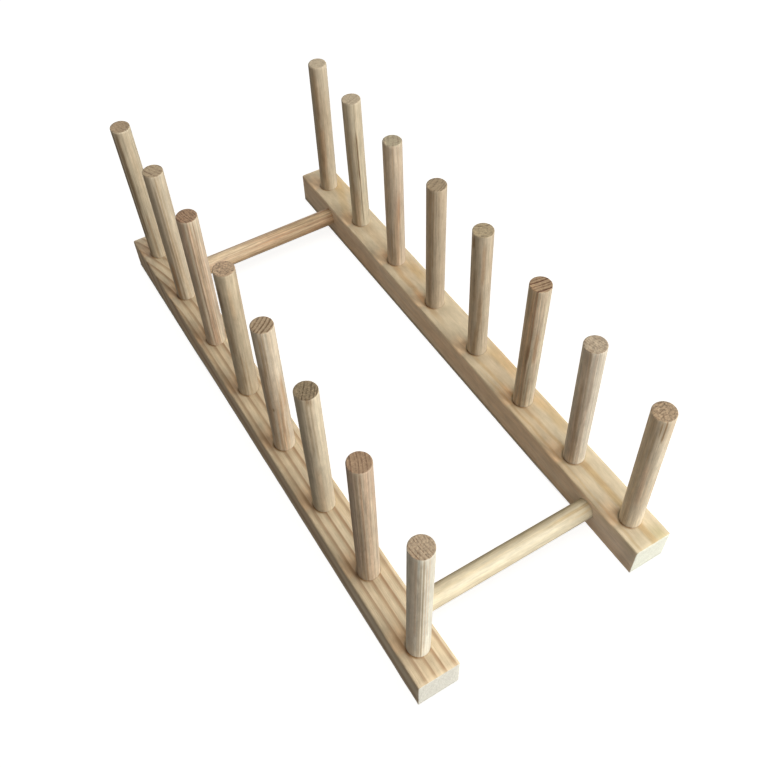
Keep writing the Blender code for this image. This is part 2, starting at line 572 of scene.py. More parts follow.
WOOD_INPUTS = [
    ("Grain", "Vector"), ("Cut", "Float", 0.0), ("Worn", "Float", 0.0), ("Seed", "Float", 0.0),
    ("PithA", "Float", 40.0), ("PithB", "Float", 0.0), ("RunA", "Float", 0.0),
    ("BendA", "Float", 0.0), ("BendFrom", "Float", 0.0), ("Spacing", "Float", 1.6),
    ("Shift", "Float", 0.0), ("Warp", "Float", 0.8), ("LateFrom", "Float", 0.45),
    ("Late", "Float", 0.6), ("Even", "Float", 0.5), ("Early", "Color"), ("LateTone", "Color"),
    ("Tint", "Color"), ("TintAmount", "Float", 0.4), ("TintSize", "Float", 5.0),
    ("Streak", "Float", 0.5), ("EndLight", "Color"), ("EndDark", "Color"),
    ("EndRings", "Float", 1.0), ("EndRough", "Float", 0.5), ("Uneven", "Float", 1.1),
]
WOOD_OUTPUTS = [
    ("Color", "Color"), ("Roughness", "Float"), ("Height", "Float"), ("Latewood", "Float")]

# What a spec may leave out. Its keys are the group's inputs in snake case:
# pith        centre of the growth rings, across the stick
# run, bend   how far the grain leaves the stick, straight and on a bend past bend_from
# spacing     ring spacing; shift, warp and uneven move, bend and vary the rings
# late_from   where in a ring the dark latewood begins; late its strength; even its least share
# streak      strength of the fine fibre marks
# tone        multiplies the side colours; end_tone those of the cut ends
WOOD_DEFAULTS = dict(
    run_a=0.0, bend_a=0.0, bend_from=0.0, shift=0.0, warp=0.8, late_from=0.45, late=0.6,
    even=0.4, tint_amount=0.5, tint_size=5.0, streak=0.6, end_rings=0.9, end_rough=0.5,
    uneven=1.1, tone=(1, 1, 1), end_tone=(1, 1, 1),
)


def wood_group():
    """Growth rings about a pith that lies outside the stick, so the lines on the
    long faces and on the cut ends belong to one tree."""
    graph, given = node_group("softwood", WOOD_INPUTS, WOOD_OUTPUTS)
    a, b, along = graph.split(given["Grain"])
    seed = graph.scaled(graph.xyz(17.31, 9.17, 31.73), given["Seed"])

    def fibre_noise(size_across, size_along, offset=0.0, detail=2.0, rough=0.5):
        base = graph.xyz(a / size_across, b / size_across, along / size_along)
        place = graph.vector_sum(seed, (offset, offset * 0.7, -offset))
        return graph.noise(graph.vector_sum(base, place), detail, rough)

    # distance from the pith, less the run-out of the grain
    slow = fibre_noise(9.0, 85.0) - 0.5
    quick = fibre_noise(2.2, 24.0, 3.0) - 0.5
    past = graph.calc("MAXIMUM", along - given["BendFrom"], 0.0)
    run = given["RunA"] * along + given["BendA"] * (past * past)
    from_pith_a = (a - given["PithA"]) - run
    from_pith_b = b - given["PithB"]
    distance = graph.length(from_pith_a, from_pith_b)
    distance = distance + slow * (given["Warp"] * 2.0)
    distance = distance + quick * (given["Warp"] * 0.45)

    # latewood: a slow rise and a quick fall in each ring, of its own strength
    phase = distance / given["Spacing"] + given["Shift"]
    uneven = graph.noise_1d(phase * 0.41 + given["Seed"] * 5.3) - 0.5
    phase = phase + uneven * given["Uneven"]
    ring = graph.calc("FLOOR", phase)
    in_ring = phase - ring
    chance = graph.add("ShaderNodeTexWhiteNoise", noise_dimensions="1D",
                       inputs={"W": ring + given["Seed"] * 13.7})
    strength = graph.linear(chance, 0.0, 1.0, given["Even"], 1.0)
    late = graph.ramp(in_ring, given["LateFrom"], 0.86) * graph.fall(in_ring, 0.88, 1.0)
    late = late * strength

    # fibre marks, each with its size across, along and offset
    fine = graph.linear(fibre_noise(0.40, 17.0, 11.0, rough=0.6), 0.30, 0.70)
    middle = graph.linear(fibre_noise(1.05, 42.0, 19.0), 0.30, 0.70)
    hair = fibre_noise(0.24, 7.0, 23.0, rough=0.6)
    blotch = graph.linear(fibre_noise(2.6, 9.0, 31.0, detail=3.0, rough=0.65), 0.28, 0.72)
    fleck = graph.ramp(fibre_noise(0.52, 3.4, 57.0, rough=0.6), 0.54, 0.70)
    hue = graph.ramp(fibre_noise(1.5, 34.0, 47.0), 0.35, 0.65)
    size = given["TintSize"]
    patch = graph.noise(graph.vector_sum(
        graph.xyz(a / size, b / size, along / (size * 9.0)),
        graph.vector_sum(seed, (41.0, 13.0, 7.0))))

    # long faces: ring colour, tinted patches, then light and dark fibres
    streak = given["Streak"]
    side = graph.mix((late * given["Late"]).clamped(), given["Early"], given["LateTone"])
    patch_share = (graph.ramp(patch, 0.42, 0.68) * given["TintAmount"]).clamped()
    side = graph.mix(patch_share, side, given["Tint"])
    side = graph.stain(hue * (streak * 0.40), side, (0.97, 0.90, 0.84))
    lift = 1.0 + (fine - 0.5) * (streak * 0.46)
    lift = lift * (1.0 + (middle - 0.5) * (streak * 0.42))
    lift = lift * (1.0 + (blotch - 0.5) * 0.26)
    dash = graph.ramp(hair, 0.58, 0.72) * 0.26
    lift = lift * (1.0 - dash * streak)
    lift = lift * (1.0 - fleck * (streak * 0.20))
    side = graph.scaled(side, lift)
    side = graph.scaled(side, 1.0 + given["Worn"] * 0.16)

    # cut ends: rings, rays across them, open tubes, and torn fibre
    def end_noise(x, y, z, detail=2.0, rough=0.6):
        return graph.noise(graph.vector_sum(graph.xyz(x, y, z), seed), detail, rough)

    end_rough = given["EndRough"]
    turn = graph.calc("ARCTAN2", from_pith_b, from_pith_a) * distance
    ray = graph.linear(end_noise(turn / 0.45, distance / 2.6, 0.0, rough=0.55), 0.30, 0.70)
    tube = graph.linear(end_noise(a / 0.92, b / 0.92, 3.0), 0.32, 0.68)
    torn = graph.linear(end_noise(a / 1.35, b / 1.35, 9.0, detail=3.0, rough=0.65), 0.30, 0.70)
    ringed = late * (0.55 + torn * 0.75)
    ringed = (ringed * given["EndRings"] + (torn - 0.62) * (end_rough * 0.85)).clamped()
    end = graph.mix(ringed, given["EndLight"], given["EndDark"])
    grit = 1.0 + (tube - 0.5) * (end_rough * 0.62)
    grit = grit * (1.0 + (ray - 0.5) * (end_rough * 0.26))
    end = graph.scaled(end, grit)

    cut = given["Cut"]
    colour = graph.mix(cut, side, end)
    roughness = 0.50 + (fine - 0.5) * 0.18
    roughness = roughness - late * 0.07
    roughness = (roughness + cut * 0.18).clamped()
    relief_side = fine * 0.32 + (late * 0.40 + dash * -1.6)
    relief_end = tube * 0.9 + (late * 0.8 + torn * 1.1)
    relief = relief_side * (1.0 - cut) + relief_end * cut
    graph.node("NodeGroupOutput", colour, roughness, relief, late)
    return graph.tree


def mark_group():
    """A streak, stain or small knot, or a band of painted light or shade: soft in every
    direction, wandering a little.
    """
    floats = ("A", "B", "From", "To", "Wide", "Soft", "Share", "Wander")
    graph, given = node_group(
        "mark",
        [("Color", "Color"), ("Grain", "Vector"), ("Tone", "Color"),
         *((name, "Float") for name in floats), ("Drift", "Vector")],
        [("Color", "Color")])
    a, b, along = graph.split(given["Grain"])
    drift_a, drift_b, _ = graph.split(given["Drift"])
    start, end, soft = given["From"], given["To"], given["Soft"]
    past = along - start
    sway = (graph.noise_1d(along / 11.0 + given["A"] * 3.1, 2.0) - 0.5) * given["Wander"]
    off_a = (a - given["A"]) - (sway + drift_a * past)
    off_b = (b - given["B"]) - (sway + drift_b * past)
    off = graph.length(off_a, off_b)
    ragged = 0.75 + graph.noise(graph.xyz(a / 0.6, b / 0.6, along / 7.0)) * 0.5
    width = given["Wide"] * ragged
    mask = graph.fall(off, width * 0.25, width)
    mask = mask * graph.ramp(along, start - soft, start + soft)
    mask = mask * graph.fall(along, end - soft, end + soft)
    share = (mask * given["Share"]).clamped()
    graph.node("NodeGroupOutput", graph.stain(share, given["Color"], given["Tone"]))
    return graph.tree


WOOD = wood_group()
MARK = mark_group()


def painted_face_shade(graph, colour, grain, cut, top, sides, half):
    """Painted light and shade on a sawn batten's faces, for how the light falls: the top
    gets one shade and the rest another. The top is drawn pale along its ends, `half`
    millimetres from the middle."""
    _, height, along = graph.split(grain)
    tone = graph.mix(graph.ramp(height, 8.1, 8.7), sides, top)
    tone = graph.mix(cut, tone, (1.0, 1.0, 1.0))
    colour = graph.tinted(colour, tone)
    border = graph.ramp(graph.calc("ABSOLUTE", along), half - 2.3, half - 0.5)
    border = border * (graph.ramp(height, 7.4, 8.4) * (1.0 - cut))
    return graph.mix((border * 0.32).clamped(), colour, (0.62, 0.50, 0.33))


def seat_painted_shade(graph, colour, grain, first, pitch, warmth):
    """Shade painted round each seat along a rail's top: a dark lip and halo, most on one
    side, and a warmer brown on another. It stays put if the light moves."""
    x, height, along = graph.split(grain)
    y = graph.calc("WRAP", along - first, pitch / 2, -pitch / 2)
    off = graph.length(x, y)
    upper = graph.ramp(height, 8.0, 8.6)

    def facing(share_x, share_y):
        """Cosine of the angle to a direction from the seat's middle."""
        return (x * share_x + y * share_y) / off

    # painted warm light in the key light's cast shadow beside each seat
    warm_side = facing(-0.74, 0.67)
    warm = graph.fall(off, 8.0, 17.0) * graph.ramp(off, 5.3, 6.4)
    warm = (warm * graph.ramp(warm_side, 0.66, 0.95) * upper).clamped()
    colour = graph.stain(warm, colour, warmth)

    # painted shade: a soft darker halo round the seat, most on its -X -Y side
    halo_side = facing(-0.80, -0.60)
    halo = graph.fall(off, 5.6, 14.0) * graph.ramp(halo_side, -0.1, 0.7)
    colour = graph.stain((halo * upper).clamped(), colour, (0.79, 0.775, 0.765))

    # painted contact shade: a dark ring at the seat's mouth, darker on one side
    heel_side = facing(-0.93, -0.37)
    uneven = 0.55 + graph.noise(graph.xyz(x / 1.6, along / 1.6, 0.0)) * 0.9
    lip = graph.fall(off, 5.15, 5.75) * 0.24
    heel = graph.fall(off, 5.2, 6.7) * graph.ramp(heel_side, 0.45, 0.97)
    mask = (graph.calc("MAXIMUM", lip, heel) * uneven * upper).clamped()
    return graph.stain(mask, colour, (0.46, 0.33, 0.20))


def toned(colour, tone):
    return tuple(c * t for c, t in zip(colour, tone))


def wood_material(name, spec):
    """The softwood group set from a spec, with its marks; rails get painted face shades and
    painted light and shade round the seats too."""
    settings = {**WOOD_DEFAULTS, **spec}
    settings["pith_a"], settings["pith_b"] = spec["pith"]
    for key in ("early", "late_tone", "tint"):
        settings[key] = toned(settings[key], settings["tone"])
    for key in ("end_light", "end_dark"):
        settings[key] = toned(settings[key], settings["end_tone"])

    material = bpy.data.materials.new(name)
    material.use_nodes = True
    graph = Graph(material.node_tree)
    grain = graph.add("ShaderNodeAttribute", attribute_name="grain", output="Vector")
    cut = graph.add("ShaderNodeAttribute", attribute_name="cut", output="Fac")
    worn = graph.add("ShaderNodeAttribute", attribute_name="worn", output="Fac")
    wood = graph.node("ShaderNodeGroup", node_tree=WOOD,
                      inputs={"Grain": grain, "Cut": cut, "Worn": worn})
    for key, value in settings.items():
        socket = key.title().replace("_", "")
        if socket in wood.inputs:
            graph.put(wood.inputs[socket], value)

    colour = Value(graph, wood.outputs["Color"])
    if "faces" in spec:
        colour = painted_face_shade(graph, colour, grain, cut, *spec["faces"], spec["half"])
    unmarked = colour
    for mark in spec["marks"]:
        colour = graph.add("ShaderNodeGroup", node_tree=MARK,
                           inputs={"Color": colour, "Grain": grain, **mark})
    if "faces" in spec:
        colour = graph.mix(cut, colour, unmarked)
        colour = seat_painted_shade(graph, colour, grain, *spec["seat_row"], spec["warmth"])

    shader = material.node_tree.nodes["Principled BSDF"]
    graph.put(shader.inputs["Base Color"], colour)
    graph.put(shader.inputs["Roughness"], Value(graph, wood.outputs["Roughness"]))
    shader.inputs["IOR"].default_value = 1.42
    shader.inputs["Specular IOR Level"].default_value = 0.5
    bump = graph.add("ShaderNodeBump", inputs={
        "Strength": 0.55, "Distance": 0.00012, "Height": Value(graph, wood.outputs["Height"])})
    graph.put(shader.inputs["Normal"], bump)
    return material


# =============================================================================
# colours
# =============================================================================

def srgb(r, g, b):
    """An 8-bit screen colour as linear light."""
    out = []
    for c in (r, g, b):
        c /= 255.0
        out.append(c / 12.92 if c <= 0.04045 else ((c + 0.055) / 1.055) ** 2.4)
    return tuple(out)


def palette(*colours):
    """8-bit colours of the earlywood, latewood, tinted patches, and pale and dark end grain."""
    keys = ("early", "late_tone", "tint", "end_light", "end_dark")
    return {key: srgb(*colour) for key, colour in zip(keys, colours)}


TAN = palette((218, 198, 168), (176, 148, 116), (206, 178, 144), (184, 160, 130), (126, 98, 72))
PINKISH = palette(
    (218, 196, 168), (176, 140, 114), (208, 176, 150), (176, 148, 120), (118, 86, 66))
CREAM = palette(
    (222, 206, 178), (184, 160, 130), (210, 188, 158), (190, 168, 140), (134, 108, 82))
ASHEN = palette(
    (214, 198, 170), (168, 146, 118), (198, 178, 150), (176, 158, 130), (110, 90, 66))
PALE_PINK = palette(
    (222, 208, 188), (178, 156, 136), (206, 188, 168), (190, 168, 140), (134, 108, 82))

# tones that marks multiply the wood by
DARK = (0.52, 0.42, 0.33)
BROWN = (0.70, 0.58, 0.46)
RUST = (0.82, 0.62, 0.47)
PINK = (1.02, 0.86, 0.78)
PALE = (1.22, 1.22, 1.20)
GREY = (0.80, 0.80, 0.80)
ORANGE = (1.02, 0.84, 0.66)
ROSE = (0.90, 0.74, 0.63)
SIENNA = (0.66, 0.48, 0.36)
# a grey tone; run down a peg's limb from foot to top it is painted shade
ASH_AND_SHADE = (0.88, 0.87, 0.86)
# painted shade: a darker band down a peg, on its left limb
PAINTED_PEG_SHADE = (0.86, 0.80, 0.77)
# painted light: a lighter band down a peg, mostly on its left limb
PAINTED_PEG_LIGHT = (1.27, 1.25, 1.22)


def make_mark(tone, a, b, start, end, wide, soft, share, wander, drift_a=0.0, drift_b=0.0):
    """Inputs of a mark at (a, b) across the wood, from start to end along it; the
    drifts are its slopes."""
    return {"Tone": tone, "A": a, "B": b, "From": start, "To": end, "Wide": wide, "Soft": soft,
            "Share": share, "Wander": wander, "Drift": (drift_a, drift_b, 0.0)}


# =============================================================================
# pegs
# =============================================================================

# Ring lines on the top look tilted `lines_at` degrees from the camera's right, about a pith
# `pith_far` mm away. `chips` in the top edge are (angle, width in degrees, depth, height).
# Columns of `marks`: place from 0 at the left outline to 1 at the right one, lowest and
# highest point above the rail, tone, share, then if not the usual: width, softness of the
# ends, wander and sideways drift.
# Marks that run from -8 to 90 or 92 down a peg's limb, and the lighter band at 0.33 on
# right_peg_1, are painted light on the right pegs and painted shade on the left ones.
PEG_WOOD = {
    "left_peg_1": dict(
        palette=TAN, lines_at=-35, spacing=1.3, late=0.45, end_rings=0.6, end_rough=0.8,
        marks=[(0.36, 0, 82, ASH_AND_SHADE, 0.6, 1.8, 10), (0.17, 16, 82, DARK, 0.6, 0.85),
               (0.24, 34, 82, DARK, 0.55, 0.65), (0.32, 0, 82, PALE, 0.5, 0.9),
               (0.03, 0, 82, DARK, 0.5, 1.8), (0.42, 0, 30, RUST, 0.35)]),
    "left_peg_2": dict(
        palette=TAN, lines_at=-28, spacing=2.4, pith_far=26, late=0.55, end_rings=0.9,
        marks=[(0.36, 0, 76, DARK, 0.45, 0.8), (0.50, 14, 82, BROWN, 0.45, 0.7),
               (0.60, 0, 82, PALE, 0.4, 0.8), (0.13, 0, 26, RUST, 0.6, 1.8),
               (0.18, 30, 82, GREY, 0.45, 1.5)]),
    "left_peg_3": dict(
        palette=PINKISH, lines_at=-40, spacing=1.35, late=0.6, end_rings=1.4, end_rough=0.9,
        streak=0.7,
        marks=[(0.06, -8, 90, PAINTED_PEG_SHADE, 0.65, 3.4, 10), (0.24, 0, 82, BROWN, 0.35, 0.7),
               (0.40, 0, 82, SIENNA, 0.40, 0.6), (0.47, 0, 82, PINK, 0.35, 0.5),
               (0.53, 0, 82, ROSE, 0.6, 0.55), (0.60, 0, 74, SIENNA, 0.35, 0.5),
               (0.68, 0, 82, ROSE, 0.45, 0.6), (0.78, 10, 60, ROSE, 0.3, 0.6)]),
    "left_peg_4": dict(
        palette=CREAM, lines_at=20, spacing=2.6, pith_far=30, late=0.35, end_rings=0.35,
        end_rough=1.5, end_light=srgb(186, 160, 128), streak=0.5,
        marks=[(0.33, 0, 82, ASH_AND_SHADE, 0.5, 2.0, 10), (0.08, 60, 74, DARK, 0.6, 1.2),
               (0.20, 30, 50, BROWN, 0.3, 1.8), (0.42, 8, 30, BROWN, 0.4, 0.8),
               (0.60, 0, 26, BROWN, 0.35, 0.7), (0.30, 0, 16, DARK, 0.3, 0.7),
               (0.52, 56, 74, ORANGE, 0.25, 1.6)]),
    "left_peg_5": dict(
        palette=TAN, lines_at=60, spacing=1.7, late=0.5, late_from=0.35, end_rings=1.6,
        even=0.5, uneven=0.5, seed=6.9,
        marks=[(0.05, -8, 90, PAINTED_PEG_SHADE, 0.35, 2.6, 10), (0.29, 30.5, 32.5, DARK, 0.95, 0.7, 1.2),
               (0.36, 0, 34, ROSE, 0.60, 0.9, 8, 0.6, 0.04),
               (0.46, 0, 44, BROWN, 0.48, 0.7, 8, 0.6, 0.055),
               (0.54, 0, 50, ROSE, 0.62, 0.9, 8, 0.6, 0.055),
               (0.66, 0, 40, BROWN, 0.42, 0.7, 8, 0.6, 0.05),
               (0.74, 4, 30, ROSE, 0.50, 0.7, 8, 0.6, 0.04),
               (0.86, 32, 52, RUST, 0.50, 1.4, 6), (0.28, 54, 80, BROWN, 0.55, 0.9),
               (0.42, 60, 82, BROWN, 0.35, 0.6), (0.16, 0, 60, BROWN, 0.45, 1.8)]),
    "left_peg_6": dict(
        palette=ASHEN, lines_at=84, spacing=1.35, pith_far=60, late=0.28, end_rings=1.6,
        end_rough=1.1, streak=0.45, even=0.15,
        marks=[(0.20, -8, 92, ASH_AND_SHADE, 0.5, 4.2, 10), (0.50, 79, 86, DARK, 0.55, 0.9, 2),
               (0.62, 78, 86, DARK, 0.4, 0.6, 2), (0.42, 46, 84, BROWN, 0.30, 0.8),
               (0.58, 40, 84, BROWN, 0.25, 0.6), (0.10, 0, 84, GREY, 0.75, 2.6),
               (0.45, 0, 34, ROSE, 0.3, 2.0)]),
    "left_peg_7": dict(
        palette=PINKISH, lines_at=98, spacing=1.5, late=0.65, end_rings=1.1, streak=0.75,
        marks=[(0.05, -8, 90, PAINTED_PEG_SHADE, 0.35, 2.6, 10), (0.30, 0, 82, BROWN, 0.35),
               (0.46, 0, 82, RUST, 0.30), (0.68, 0, 82, PINK, 0.35)]),
    "left_peg_8": dict(
        palette=PALE_PINK, lines_at=-48, spacing=1.25, pith_far=40, late=0.12, end_rings=1.1,
        end_rough=0.9, streak=0.42,
        marks=[(0.20, 0, 82, ROSE, 0.35, 2.6), (0.34, 20, 82, ROSE, 0.45, 0.8),
               (0.44, 0, 70, BROWN, 0.35, 0.6), (0.505, 0, 80, BROWN, 0.50, 0.50, 4, 0.12),
               (0.555, 0, 82, PALE, 0.45, 0.36, 4, 0.12),
               (0.605, 0, 82, BROWN, 0.62, 0.50, 4, 0.12),
               (0.655, 0, 82, PALE, 0.35, 0.38, 4, 0.12),
               (0.71, 6, 76, ROSE, 0.55, 0.42, 4, 0.12),
               (0.80, 20, 82, ROSE, 0.45, 0.42, 4, 0.12),
               (0.96, -8, 92, ASH_AND_SHADE, 0.5, 2.2), (0.24, -8, 92, ASH_AND_SHADE, 0.5, 3.0)]),
    "right_peg_1": dict(
        palette=TAN, lines_at=10, spacing=3.2, pith_far=18, late=0.25, end_rings=0.2, tip=0.8,
        end_rough=0.4, end_light=srgb(204, 182, 146),
        marks=[(0.33, 0, 82, PAINTED_PEG_LIGHT, 0.25, 2.2, 10), (0.22, 8, 78, BROWN, 0.40, 2.0),
               (0.40, 16, 44, RUST, 0.35, 2.0), (0.30, 50, 70, BROWN, 0.3, 1.2),
               (0.40, -4, 14, BROWN, 0.35, 3.2, 6)]),
    "right_peg_2": dict(
        palette=TAN, lines_at=42, spacing=2.1, late=0.3, end_rings=0.3, end_rough=0.6,
        end_light=srgb(202, 182, 148),
        marks=[(0.05, -8, 90, PAINTED_PEG_LIGHT, 0.35, 3.0, 10), (0.62, 34, 64, DARK, 0.95, 0.62, 5, 0.3),
               (0.64, 2, 40, DARK, 0.5, 0.42, 6, 0.3), (0.71, 10, 60, PALE, 0.45, 0.45),
               (0.52, 10, 60, BROWN, 0.35, 0.5), (0.18, 0, 50, BROWN, 0.35, 1.4),
               (0.36, -4, 26, ROSE, 0.5, 2.4, 8)]),
    "right_peg_3": dict(
        palette=PINKISH, lines_at=90, spacing=2.3, late=0.35, end_rings=0.7, tip=0.65,
        end_light=srgb(198, 180, 146),
        marks=[(0.05, -8, 90, PAINTED_PEG_LIGHT, 0.65, 3.0, 10), (0.42, 0, 36, BROWN, 0.35, 1.5, 8, 0.6, 0.03),
               (0.60, 0, 46, ROSE, 0.5, 1.2, 8, 0.6, 0.02), (0.28, 4, 24, BROWN, 0.4),
               (0.74, 30, 50, ROSE, 0.5, 1.0, 8), (0.60, 66, 82, PALE, 0.35, 0.5),
               (0.50, 60, 82, BROWN, 0.25, 0.5)]),
    "right_peg_4": dict(
        palette=ASHEN, lines_at=48, spacing=1.8, pith_far=22, late=0.3, end_rings=1.0,
        streak=0.55,
        marks=[(0.05, -8, 90, PAINTED_PEG_LIGHT, 0.70, 3.0, 10), (0.22, 0, 82, BROWN, 0.4, 1.4),
               (0.36, 30, 82, BROWN, 0.45, 0.5), (0.44, 46, 82, PALE, 0.4, 0.6),
               (0.62, 50, 82, BROWN, 0.25, 0.5)]),
    "right_peg_5": dict(
        palette=TAN, lines_at=2, spacing=2.2, pith_far=11, late=0.3, end_rings=0.75,
        end_rough=0.8, end_light=srgb(204, 184, 148),
        marks=[(0.05, -8, 90, PAINTED_PEG_LIGHT, 0.65, 3.0, 10), (0.12, 74, 80, DARK, 0.9, 1.0, 1.5),
               (0.34, 0, 22, BROWN, 0.55, 1.8, 6, 0.6, 0.05),
               (0.50, 22, 44, BROWN, 0.4, 1.5, 7, 0.6, 0.03),
               (0.70, 14, 36, BROWN, 0.35, 0.6, 4, 0.6, -0.04),
               (0.62, 52, 76, ROSE, 0.45, 1.4), (0.25, 40, 60, BROWN, 0.3, 1.6)]),
    "right_peg_6": dict(
        palette=PINKISH, lines_at=16, spacing=1.75, late=0.5, late_from=0.40, end_rings=1.7,
        end_light=srgb(196, 160, 124), end_dark=srgb(112, 68, 44), streak=0.9,
        chips=[(250, 16, 0.35, 0.8)],
        marks=[(0.10, -8, 90, PAINTED_PEG_LIGHT, 0.70, 4.4, 10), (0.43, 36, 84, SIENNA, 0.52, 0.6, 4, 0.4),
               (0.35, 30, 84, RUST, 0.40, 0.6, 4, 0.5), (0.37, 0, 46, SIENNA, 0.42, 0.7, 4, 0.5),
               (0.48, 0, 30, BROWN, 0.42, 0.6), (0.14, 0, 82, BROWN, 0.30, 1.4),
               (0.27, 0, 82, RUST, 0.5, 0.9), (0.70, 34, 54, RUST, 0.45, 1.3),
               (0.62, 0, 24, SIENNA, 0.35, 0.7), (0.56, 50, 82, PALE, 0.35, 1.0)]),
    "right_peg_7": dict(
        palette=ASHEN, lines_at=-38, spacing=1.1, pith_far=35, late=0.35, end_rings=0.8,
        end_rough=0.8, end_light=srgb(204, 186, 154), end_dark=srgb(140, 114, 84),
        marks=[(0.30, 0, 82, ROSE, 0.35, 2.4), (0.40, 0, 60, BROWN, 0.35, 1.2, 4, 0.6, -0.02),
               (0.56, 30, 82, BROWN, 0.3, 0.7, 4, 0.6, -0.03), (0.66, 0, 82, PINK, 0.3),
               (0.50, 0, 24, BROWN, 0.4, 0.8)]),
    "right_peg_8": dict(
        palette=TAN, lines_at=35, spacing=1.5, pith_far=24, late=0.3, end_rings=0.5,
        end_rough=1.15, end_light=srgb(190, 158, 118), end_dark=srgb(118, 84, 56),
        chips=[(262, 22, 0.45, 1.3), (150, 14, 0.25, 0.7)],
        marks=[(0.12, -8, 90, PAINTED_PEG_LIGHT, 0.45, 4.4, 10), (0.30, 0, 82, BROWN, 0.25, 1.8),
               (0.74, 68, 82, DARK, 0.9, 0.6, 2), (0.60, 72, 80, BROWN, 0.6, 0.5, 2),
               (0.45, 52, 72, BROWN, 0.4, 0.8), (0.55, 20, 50, PINK, 0.35, 1.6),
               (0.12, 0, 60, GREY, 0.4, 1.5)]),
}

# One row per peg, in the same order: height above nominal (mm), dip of the sawn end
# towards the camera (mm per mm), shade of the sides, shade of the sawn top.
PEG_TRIM = [
    (1.6, 0.10, (0.71, 0.76, 0.79), (0.65, 0.65, 0.64)),
    (1.1, 0.02, (0.80, 0.86, 0.92), (0.70, 0.73, 0.73)),
    (1.2, 0.03, (0.80, 0.87, 0.91), (0.62, 0.58, 0.54)),
    (0.4, 0.0, (0.67, 0.66, 0.64), (0.70, 0.69, 0.71)),
    (0.6, 0.0, (0.86, 0.92, 1.01), (0.65, 0.66, 0.65)),
    (0.2, 0.0, (0.88, 0.91, 0.94), (0.49, 0.47, 0.43)),
    (0.4, 0.0, (0.78, 0.82, 0.85), (0.64, 0.63, 0.60)),
    (0.0, 0.0, (1.02, 1.14, 1.21), (0.67, 0.67, 0.67)),
    (0.6, 0.05, (0.70, 0.74, 0.78), (0.66, 0.70, 0.79)),
    (0.6, 0.03, (0.73, 0.79, 0.83), (0.65, 0.67, 0.73)),
    (-0.5, 0.0, (0.73, 0.77, 0.80), (0.59, 0.62, 0.66)),
    (-1.0, 0.0, (0.72, 0.71, 0.72), (0.65, 0.63, 0.61)),
    (-0.3, 0.0, (0.69, 0.72, 0.76), (0.51, 0.51, 0.51)),
    (-1.3, 0.0, (0.76, 0.84, 0.87), (0.52, 0.56, 0.57)),
    (-0.7, 0.0, (0.97, 1.04, 1.19), (0.60, 0.59, 0.63)),
    (-0.7, 0.0, (0.95, 1.02, 1.11), (0.58, 0.63, 0.74)),
]
PEG_SWELL = 0.08


def hashed(index, salt):
    """A repeatable number from 0 to 1."""
    x = math.sin(index * 12.9898 + salt * 78.233) * 43758.5453
    return x - math.floor(x)


def view_directions(node):
    """Level directions at a bar: towards the camera, and to the camera's right."""
    start, end, _ = bar_axis(node)
    toward = CAM_AT - (start + end) / 2
    toward.z = 0
    toward.normalize()
    return toward, Vector((-toward.y, toward.x, 0))


def ring_pith(lines_at, far):
    """Pith position (mm; an upright peg's own across axes are world X and Y)."""
    tilt = math.radians(lines_at)
    line = CAM_RIGHT * math.cos(tilt) + CAM_AWAY * (math.sin(tilt) / math.sin(CAM_EL))
    line.normalize()
    return -line.y * far, line.x * far


def streak(node, across, low, high, tone, share, wide=0.9, soft=4.0, wander=0.6, drift=0.0):
    """A mark down a peg, from a row of its `marks`."""
    toward, right = view_directions(node)
    sideways = max(-1.0, min(1.0, 2 * across - 1))
    direction = toward * math.sqrt(max(0.0, 1 - sideways * sideways)) + right * sideways
    start, _, radius = bar_axis(node)
    rail_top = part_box(node.split("_")[0] + "_rail")[1].z
    zero = (rail_top - start.z) / MM
    radius /= MM
    return make_mark(
        tone, a=direction.x * radius, b=direction.y * radius, start=zero + low, end=zero + high,
        wide=wide, soft=soft, share=min(1.0, share * 1.45), wander=wander,
        drift_a=right.x * drift, drift_b=right.y * drift)


def peg_spec(index, name, palette, lines_at, marks, pith_far=45, **wood):
    proud, dip, tone, end_tone = PEG_TRIM[index]
    toward, _ = view_directions(name)
    wild_a, wild_b = (0.012 * (hashed(index, salt) - 0.5) * 2 for salt in (1, 2))
    return {
        **palette,
        "pith": ring_pith(lines_at, pith_far),
        "seed": 1.0 + index * 1.37,
        "warp": 0.45,
        "tip": 0.22 + 0.16 * hashed(index, 7),
        "swell": PEG_SWELL,
        "proud": proud,
        "tilt": (wild_a - dip * toward.x, wild_b - dip * toward.y),
        "tone": tone,
        "end_tone": end_tone,
        "marks": [streak(name, *row) for row in marks],
        **wood,
    }


made = {}


def build_bar(name, across, spec):
    # the CAD solid keeps the plain name, so the piece that shows gets its own
    made[name] = make_bar(name + "_wood", name, across, spec)
    made[name].data.materials.append(wood_material("pine_" + name, spec))


for index, (name, wood) in enumerate(PEG_WOOD.items()):
    build_bar(name, Vector((1, 0, 0)), peg_spec(index, name, **wood))


# =============================================================================
# stretchers
# =============================================================================

